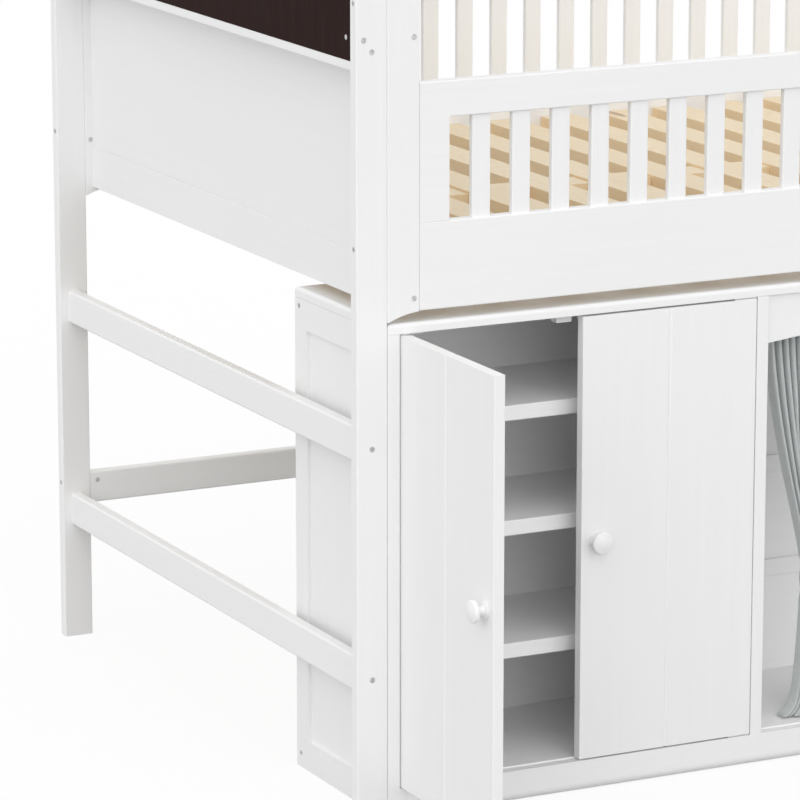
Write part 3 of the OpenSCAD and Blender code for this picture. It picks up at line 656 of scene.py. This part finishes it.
def sheet_object(
    name: str, points: np.ndarray, flat: np.ndarray, thickness: float, closed: bool = False
) -> bpy.types.Object:
    """Makes a thin closed piece from a grid of points.

    Args:
        name: the piece's name.
        points: (rows, columns, 3) places, in metres. Row by column runs so that faces point outwards.
        flat: (rows, columns, 2) places on the flat cloth, in metres.
        thickness: the cloth's thickness, which a Solidify modifier adds.
        closed: whether the last column joins the first one again.

    Returns:
        The new object.
    """
    rows, columns = points.shape[:2]
    index = np.arange(rows * columns).reshape(rows, columns)
    following = np.roll(index, -1, axis=1)
    wide = columns if closed else columns - 1
    quads = np.stack(
        [index[:-1, :wide], following[:-1, :wide], following[1:, :wide], index[1:, :wide]], axis=-1
    ).reshape(-1, 4)
    mesh = bpy.data.meshes.new(name)
    mesh.from_pydata(points.reshape(-1, 3).tolist(), [], quads.tolist())
    mesh.shade_smooth()
    layer = mesh.uv_layers.new(name="cloth")
    loop_points = np.zeros(len(mesh.loops), np.int32)
    mesh.loops.foreach_get("vertex_index", loop_points)
    layer.data.foreach_set("uv", flat.reshape(-1, 2)[loop_points].astype(np.float32).ravel())
    made = bpy.data.objects.new(name, mesh)
    bpy.context.scene.collection.objects.link(made)
    wall = made.modifiers.new("thickness", "SOLIDIFY")
    wall.thickness = thickness
    wall.offset = 0.0
    wall.use_even_offset = False
    return made


def ripples(
    u: np.ndarray, share: np.ndarray, waves: tuple[tuple[float, float, float], ...], starts: np.ndarray
) -> np.ndarray:
    """A sum of sines across a cloth, whose places shift on the way down.

    Each adds a sin(2 pi n u + s + t v), where a is its height, n its waves over the width, t its shift over the
    fall, s its start and v the share of the fall.

    Args:
        u: the place across, from 0 to 1.
        share: the share of the fall, from 0 at the top to 1 at the hem.
        waves: a, n and t of each sine.
        starts: s of each sine.

    Returns:
        The sum, over the grid of u and share.
    """
    total = np.zeros(np.broadcast(u, share).shape)
    for (height, count, shift), start in zip(waves, starts):
        total = total + height * np.sin(2 * math.pi * count * u + start + shift * share)
    return total


@dataclass
class Curtain:
    """A curtain gathered on the rod by its sleeve and drawn in by a band.

    Its sheet is a grid over u, from one side edge to the other, and the length from the stitching under the
    sleeve to the hem. Its deep folds hold their depth all the way down: they are pressed together at the band and
    open again below it. Each is wider or narrower than the next, and some fade out between their neighbours.

    Attributes:
        side: 1 for a curtain, and -1 for its mirror image.
        drifts: the sines that make folds wider and narrower, as for ripples.
        swells: the sines that make folds deeper and shallower, as for ripples.
        second: the share of a wave of half the width in each fold.
        fading: for each fold that fades out, its place among the folds and the share of the fall where it starts.
        lean: how far crests and sides are pushed along the rod, as shares of a fold's width.
        growth: the length under the stitching over which the folds get their depth.
        sway: how far the cloth wanders to the side on its way down.
        held_depth: half the depth of the ellipse in which the band holds the cloth.
        held_margin: how far that ellipse is wider than the waist.
        held_reach: how far above and below the band the ellipse is felt.
        hem_out: how far the hem turns out.
        hem_lift: how far the hem's two corners turn up.
        hem_seam: the distance of the stitches from the hem.
        sleeve_ends: the directions in which the sleeve starts and ends round the rod, in degrees.
        foot_back: how far behind the rod's axis the sleeve's closing row lies.
        foot_tuck: how far that row lies under the stitching.
        full_row: a row at which the folds have their full depth. It is not used.
    """

    name: str
    node: str
    side: int
    seed: int
    flat_width: float = 1.08
    waist_half: float = 45 * MM
    hem_half: float = 92 * MM
    folds: int = 20
    depth: float = 15.4 * MM
    deepest: float = 18.5 * MM
    drifts: tuple[tuple[float, float, float], ...] = ((0.011, 3.3, 0.8), (0.008, 5.7, -1.3))
    swells: tuple[tuple[float, float, float], ...] = ((0.15, 4.1, 0.9), (0.12, 7.3, -1.1))
    second: float = 0.16
    fading: tuple[tuple[float, float], ...] = ((3.75, 0.16), (8.75, 0.30), (14.75, 0.10))
    fade_width: float = 0.42
    lean: tuple[float, float] = (0.075, 0.065)
    growth: float = 35 * MM
    sway: float = 3 * MM
    held_depth: float = 17.4 * MM
    held_margin: float = 1.5 * MM
    held_reach: float = 50 * MM
    hem_out: float = 2.5 * MM
    hem_lift: float = 3 * MM
    hem_seam: float = 28 * MM
    sleeve_slack: float = 2.2 * MM
    sleeve_gap: float = 9 * MM
    sleeve_ends: tuple[float, float] = (-62.0, 242.0)
    foot_back: float = 1.2 * MM
    foot_tuck: float = 2 * MM
    thickness: float = 0.9 * MM
    columns: int = 300
    rows: int = 124
    sleeve_rows: int = 22
    full_row: int = 20

    def __post_init__(self) -> None:
        """Reads the rod, the band and the curtain's own box."""
        low, high = span(self.node)
        rod_low, rod_high = span("curtain_rod")
        self.centre = (low[0] + high[0]) / 2
        self.top_half = (high[0] - low[0]) / 2
        self.hem_z = low[2]
        self.rod = (rod_low + rod_high) / 2
        self.rod_radius = (rod_high[2] - rod_low[2]) / 2
        self.band_low, self.band_high = (corner[2] for corner in span("tiebacks"))
        self.sleeve_radius = self.rod_radius + self.sleeve_slack
        self.seam_z = self.rod[2] - self.sleeve_radius - self.sleeve_gap

    def half_width(self, z: np.ndarray) -> np.ndarray:
        """Half the curtain's width at a height.

        Over the share a of the way up from the band it widens as 1 - (1 - d)^1.5, where d is 1.12 a^2 / (a + 0.12)
        and so starts slowly. Over the share b of the way down it widens as 0.4 b^1.6 + 0.6 b^18, so it hangs nearly
        straight and spreads at the hem.

        Args:
            z: the height.

        Returns:
            Half the width there.
        """
        above = np.clip((z - self.band_high) / (self.seam_z - self.band_high), 0, 1)
        below = np.clip((self.band_low - z) / (self.band_low - self.hem_z), 0, 1)
        drawn = np.minimum(1.12 * above**2 / (above + 0.12), 1.0)
        top, hem = self.top_half - self.waist_half, self.hem_half - self.waist_half
        return self.waist_half + top * (1 - (1 - drawn) ** 1.5) + hem * (0.4 * below**1.6 + 0.6 * below**18)

    def _phase(self, u: np.ndarray, share: np.ndarray) -> np.ndarray:
        """The folds' phase.

        It is 2 pi n (u + s) + pi / 2, where n is the number of folds and s a sum of sines, less its value at the
        first edge, which so lies at the back.

        Args:
            u: the place across, from 0 to 1.
            share: the share of the fall, from 0 at the stitching to 1 at the hem.

        Returns:
            The phase, which grows by 2 pi over a fold.
        """
        starts = np.random.default_rng(self.seed).uniform(0, 2 * math.pi, 2)
        edge = ripples(np.zeros_like(u), share, self.drifts, starts)
        shift = ripples(u, share, self.drifts, starts) - edge
        return 2 * math.pi * self.folds * (u + shift) + math.pi / 2

    def _relief(self, u: np.ndarray, share: np.ndarray) -> np.ndarray:
        """The folds' relief.

        It is d sin(p) + e d sin(2p + s), where p is the phase, e the share called second, and s turns slowly. The
        depth d swells across, and falls to a fifth under a bell in p where a fold fades out. The relief r is at
        last held below the limit m as m tanh(r / m).

        Args:
            u: the place across, from 0 to 1.
            share: the share of the fall, from 0 at the stitching to 1 at the hem.

        Returns:
            How far the cloth lies behind the rod's axis, in metres.
        """
        starts = np.random.default_rng(self.seed + 100).uniform(0, 2 * math.pi, 3)
        phase = self._phase(u, share)
        depth = 1 + ripples(u, share, self.swells, starts)
        for fold, start in self.fading:
            bell = np.exp(-(((phase / (2 * math.pi) - fold) / self.fade_width) ** 2))
            depth = depth * (1 - 0.8 * bell * smooth((share - start) / 0.16) * smooth((0.62 - share) / 0.1))
        turn = starts[2] + 2.6 * np.sin(2 * math.pi * 0.9 * u + starts[0]) + 1.2 * share
        relief = self.depth * depth * (np.sin(phase) + self.second * np.sin(2 * phase + turn))
        return self.deepest * np.tanh(relief / self.deepest)

    def fall(self, u: np.ndarray, z: np.ndarray) -> tuple[np.ndarray, np.ndarray, np.ndarray]:
        """Places on the hanging part.

        The relief grows from nothing at the stitching. Along the rod, c cos(p) - d sin(2p) is added, for the phase
        p: the first term makes the crests in front broad and the troughs narrow, and the second one steepens the
        sides. At the band the whole is held in an ellipse. The hem turns outwards and up a little at the floor.

        Args:
            u: the place across, from 0 to 1.
            z: the height.

        Returns:
            The x, y and z of each point, in metres.
        """
        across = 2 * u - 1
        share = (self.seam_z - z) / (self.seam_z - self.hem_z)
        below = np.clip((self.band_low - z) / (self.band_low - self.hem_z), 0, 1)
        y = smooth((self.seam_z - z) / self.growth) * self._relief(u, share)
        half = self.half_width(z)
        phase, pitch = self._phase(u, share), 2 * half / self.folds
        crests, sides = self.lean
        pushed = pitch * (crests * np.cos(phase) - sides * np.sin(2 * phase))
        x = half * across + pushed + self.sway * np.sin(2.4 * across + 5 * share) * share * (1 - share)
        bound = self.held_depth * np.sqrt(np.clip(1 - (x / (self.waist_half + self.held_margin)) ** 2, 0.03, 1))
        held = smooth(1 - np.abs(z - (self.band_low + self.band_high) / 2) / self.held_reach)
        y = y * (1 - held) + np.clip(y, -bound, bound) * held
        curl = below**24
        y = y * (1 + 0.12 * curl) - self.hem_out * curl
        return x, y, z + self.hem_lift * curl * across**2

    def sleeve(self, u: np.ndarray) -> np.ndarray:
        """Places on the sleeve.

        It is a ring round the rod. For the folds' phase p, turned a little round the ring, its radius grows by
        0.9 (1 + sin(p)) + 0.5 (1 + sin(2p + 1)) millimetres. A row before the first one closes it behind the
        stitching.

        Args:
            u: the place across, from 0 to 1.

        Returns:
            (rows, columns, 3) places, in metres.
        """
        turn = np.linspace(*map(math.radians, self.sleeve_ends), self.sleeve_rows)[:, None]
        phase = self._phase(u, np.zeros_like(turn)) + 0.5 * np.sin(2 * turn + self.seed)
        radius = self.sleeve_radius + MM * (0.9 * (1 + np.sin(phase)) + 0.5 * (1 + np.sin(2 * phase + 1)))
        x = np.broadcast_to(self.top_half * (2 * u - 1), radius.shape)
        ring = np.stack([x, radius * np.cos(turn), self.rod[2] + radius * np.sin(turn)], axis=-1)
        foot = ring[:1].copy()
        foot[..., 1] = self.foot_back
        foot[..., 2] = self.seam_z - self.foot_tuck
        return np.concatenate([foot, ring], axis=0)

    def build(self) -> bpy.types.Object:
        """Builds the sheet, which takes the place of the plain curtain.

        Returns:
            The curtain's object.
        """
        u = np.linspace(0, 1, self.columns)[None, :]
        heights = np.linspace(self.seam_z, self.hem_z, self.rows)[:, None]
        x, y, z = self.fall(u, heights)
        hanging = np.stack([x, y, np.broadcast_to(z, x.shape)], axis=-1)
        points = np.concatenate([self.sleeve(u), hanging], axis=0)
        steps = np.linalg.norm(np.diff(points, axis=0), axis=-1).mean(axis=1)
        along = np.concatenate([[0.0], np.cumsum(steps)])
        flat = np.stack(np.broadcast_arrays(u * self.flat_width, along[:, None]), axis=-1)
        points[..., 0] = self.centre + self.side * points[..., 0]
        points[..., 1] += self.rod[1]
        if self.side < 0:
            points, flat = points[:, ::-1], flat[:, ::-1]
        made = sheet_object(self.name, points[::-1], flat[::-1], self.thickness)
        made.data.materials.append(CottonCloth("cotton_" + self.name, float(along[-1]), self.hem_seam).material())
        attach(made, "bed")
        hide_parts(self.node)
        return made

    @staticmethod
    def _area(points: np.ndarray) -> float:
        """The area of a grid of points: half the length of the cross product of each cell's diagonals, summed.

        Args:
            points: (rows, columns, 3) places, in metres.

        Returns:
            The area, in square metres.
        """
        one = points[1:, 1:] - points[:-1, :-1]
        two = points[1:, :-1] - points[:-1, 1:]
        return float(np.linalg.norm(np.cross(one, two), axis=-1).sum() / 2)

    @staticmethod
    def _run(row: np.ndarray) -> float:
        """The length of a row of points."""
        return float(np.linalg.norm(np.diff(row, axis=0), axis=-1).sum())


@dataclass
class Band:
    """A strip of cloth round a curtain's waist.

    Its path is a superellipse, |x/a|^n + |y/b|^n = 1, and its section bulges by a parabola over its height.

    Attributes:
        power: n of the superellipse.
        crease: the depth of the creases, which are a sine round the band that fades at its two edges.
        waver: how far the band wavers up and down, as a sine round it.
        hem_seam: the distance of the stitches from the band's edges.
    """

    name: str
    curtain: Curtain
    half_wide: float = 47.6 * MM
    half_deep: float = 21.0 * MM
    power: float = 2.7
    bulge: float = 1.6 * MM
    crease: float = 0.5 * MM
    waver: float = 0.8 * MM
    hem_seam: float = 4 * MM
    thickness: float = 1.4 * MM
    columns: int = 200
    rows: int = 22

    def build(self) -> bpy.types.Object:
        """Builds the band, which takes the place of the plain ring.

        Returns:
            The band's object.
        """
        angle = np.linspace(0, 2 * math.pi, self.columns, endpoint=False)[None, :]
        share = np.linspace(0, 1, self.rows)[:, None]
        cos, sin = np.cos(angle), np.sin(angle)
        radius = (np.abs(cos / self.half_wide) ** self.power + np.abs(sin / self.half_deep) ** self.power) ** (
            -1 / self.power
        )
        creases = self.crease * np.sin(9 * angle + 5 * share + self.curtain.seed) * np.sin(math.pi * share)
        crown = self.bulge * (1 - (2 * share - 1) ** 2)
        radius = radius + crown + creases
        low, high = self.curtain.band_low, self.curtain.band_high
        z = low + (high - low) * share + self.waver * np.sin(3 * angle + self.curtain.seed)
        points = np.stack(np.broadcast_arrays(radius * cos, radius * sin, z), axis=-1)
        ring = float(np.linalg.norm(np.roll(points, -1, axis=1) - points, axis=-1).sum(axis=1).mean())
        flat = np.stack(np.broadcast_arrays(angle / (2 * math.pi) * ring, (high - low) * share), axis=-1)
        points[..., 0] += self.curtain.centre
        points[..., 1] += self.curtain.rod[1]
        made = sheet_object(self.name, points, flat, self.thickness, closed=True)
        made.data.materials.append(CottonCloth("cotton_" + self.name, high - low, self.hem_seam).material())
        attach(made, "bed")
        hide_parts("tiebacks")
        return made


@dataclass
class Studio:
    """A pale floor, even light from all round, three broad lamps, and the camera."""

    floor_size: float = 60.0
    floor_tone: float = 0.45
    floor_seen: float = 0.96
    floor_lift: float = 0.88
    surround: float = 0.80
    front_lamp: float = 0.83
    front_from: tuple[float, float, float] = (0.0, -1.0, 0.15)
    side_lamp: float = 0.64
    side_from: tuple[float, float, float] = (-1.0, -0.25, 0.33)
    high_lamp: float = 0.46
    high_from: tuple[float, float, float] = (-0.5, -0.8, 1.0)
    lamp_spread: float = 60.0
    camera_place: tuple[float, float, float] = (-4.5979, -7.8668, 2.7076)
    camera_heading: float = 26.4007
    camera_dip: float = 13.0354
    camera_lens: float = 203.76
    camera_sensor: float = 36.0
    camera_reach: float = 100.0

    def build(self) -> None:
        """Makes the floor, the surround, the lamps and the camera."""
        self._floor()
        self._surround()
        self._lamp("front_lamp", self.front_lamp, self.front_from)
        self._lamp("side_lamp", self.side_lamp, self.side_from)
        self._lamp("high_lamp", self.high_lamp, self.high_from)
        self._camera()

    def _floor(self) -> None:
        """A flat sheet, pale for what is seen of it, where it keeps the shadow, and plainer in the light it sends."""
        half = self.floor_size / 2
        mesh = bpy.data.meshes.new("floor")
        mesh.from_pydata([(-half, -half, 0), (half, -half, 0), (half, half, 0), (-half, half, 0)], [], [(0, 1, 2, 3)])
        floor = bpy.data.objects.new("floor", mesh)
        bpy.context.scene.collection.objects.link(floor)
        material = bpy.data.materials.new("floor_white")
        n = Nodes(material)
        matt = n.node("ShaderNodeBsdfDiffuse", inputs={"Color": (self.floor_tone,) * 3 + (1.0,)})
        pale = n.node("ShaderNodeBsdfDiffuse", inputs={"Color": (self.floor_seen,) * 3 + (1.0,)})
        white = n.node("ShaderNodeEmission")
        seen = n.node("ShaderNodeMixShader", inputs={0: self.floor_lift, 1: pale, 2: white})
        surface = n.node("ShaderNodeMixShader", inputs={0: n.seen_directly(), 1: matt, 2: seen})
        n.close("ShaderNodeOutputMaterial", surface)
        mesh.materials.append(material)

    def _surround(self) -> None:
        """White where it is seen or mirrored, and a plain even light for everything else."""
        world = bpy.data.worlds.new("surround")
        bpy.context.scene.world = world
        n = Nodes(world)
        even = n.node("ShaderNodeBackground", inputs={"Color": (1.0,) * 4, "Strength": self.surround})
        white = n.node("ShaderNodeBackground", inputs={"Color": (1.0,) * 4, "Strength": 1.0})
        surface = n.node("ShaderNodeMixShader", inputs={0: n.seen_directly(), 1: even, 2: white})
        n.close("ShaderNodeOutputWorld", surface)

    def _lamp(self, name: str, strength: float, place: tuple[float, float, float]) -> None:
        """Adds a broad, soft lamp.

        Args:
            name: the lamp's name.
            strength: its light, in watts per square metre.
            place: the direction in which the lamp stands.
        """
        light = bpy.data.lights.new(name, "SUN")
        light.energy = strength
        light.angle = math.radians(self.lamp_spread)
        lamp = bpy.data.objects.new(name, light)
        lamp.rotation_euler = Vector(place).to_track_quat("Z", "Y").to_euler()
        bpy.context.scene.collection.objects.link(lamp)

    def _camera(self) -> None:
        """The camera: heading is its turn from +Y towards +X, and dip is how far it looks down, in degrees."""
        data = bpy.data.cameras.new("camera")
        data.sensor_width = self.camera_sensor
        data.lens = self.camera_lens
        data.clip_end = self.camera_reach
        camera = bpy.data.objects.new("camera", data)
        camera.location = self.camera_place
        camera.rotation_euler = (math.radians(90 - self.camera_dip), 0.0, math.radians(-self.camera_heading))
        bpy.context.scene.collection.objects.link(camera)
        bpy.context.scene.camera = camera


def main() -> None:
    """Builds and dresses every sub-assembly in order."""
    logging.basicConfig(level=logging.INFO, format="%(message)s")
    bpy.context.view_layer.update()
    bpy.context.scene.view_settings.view_transform = "Standard"
    PaintedFrame().dress()
    Deck().dress()
    Cabinet().dress()
    left = Curtain("left_curtain", "curtain_left", side=1, seed=3)
    right = Curtain("right_curtain", "curtain_right", side=-1, seed=8)
    left.build()
    right.build()
    Band("left_band", left).build()
    Band("right_band", right).build()
    Studio().build()


if __name__ == "__main__":
    main()
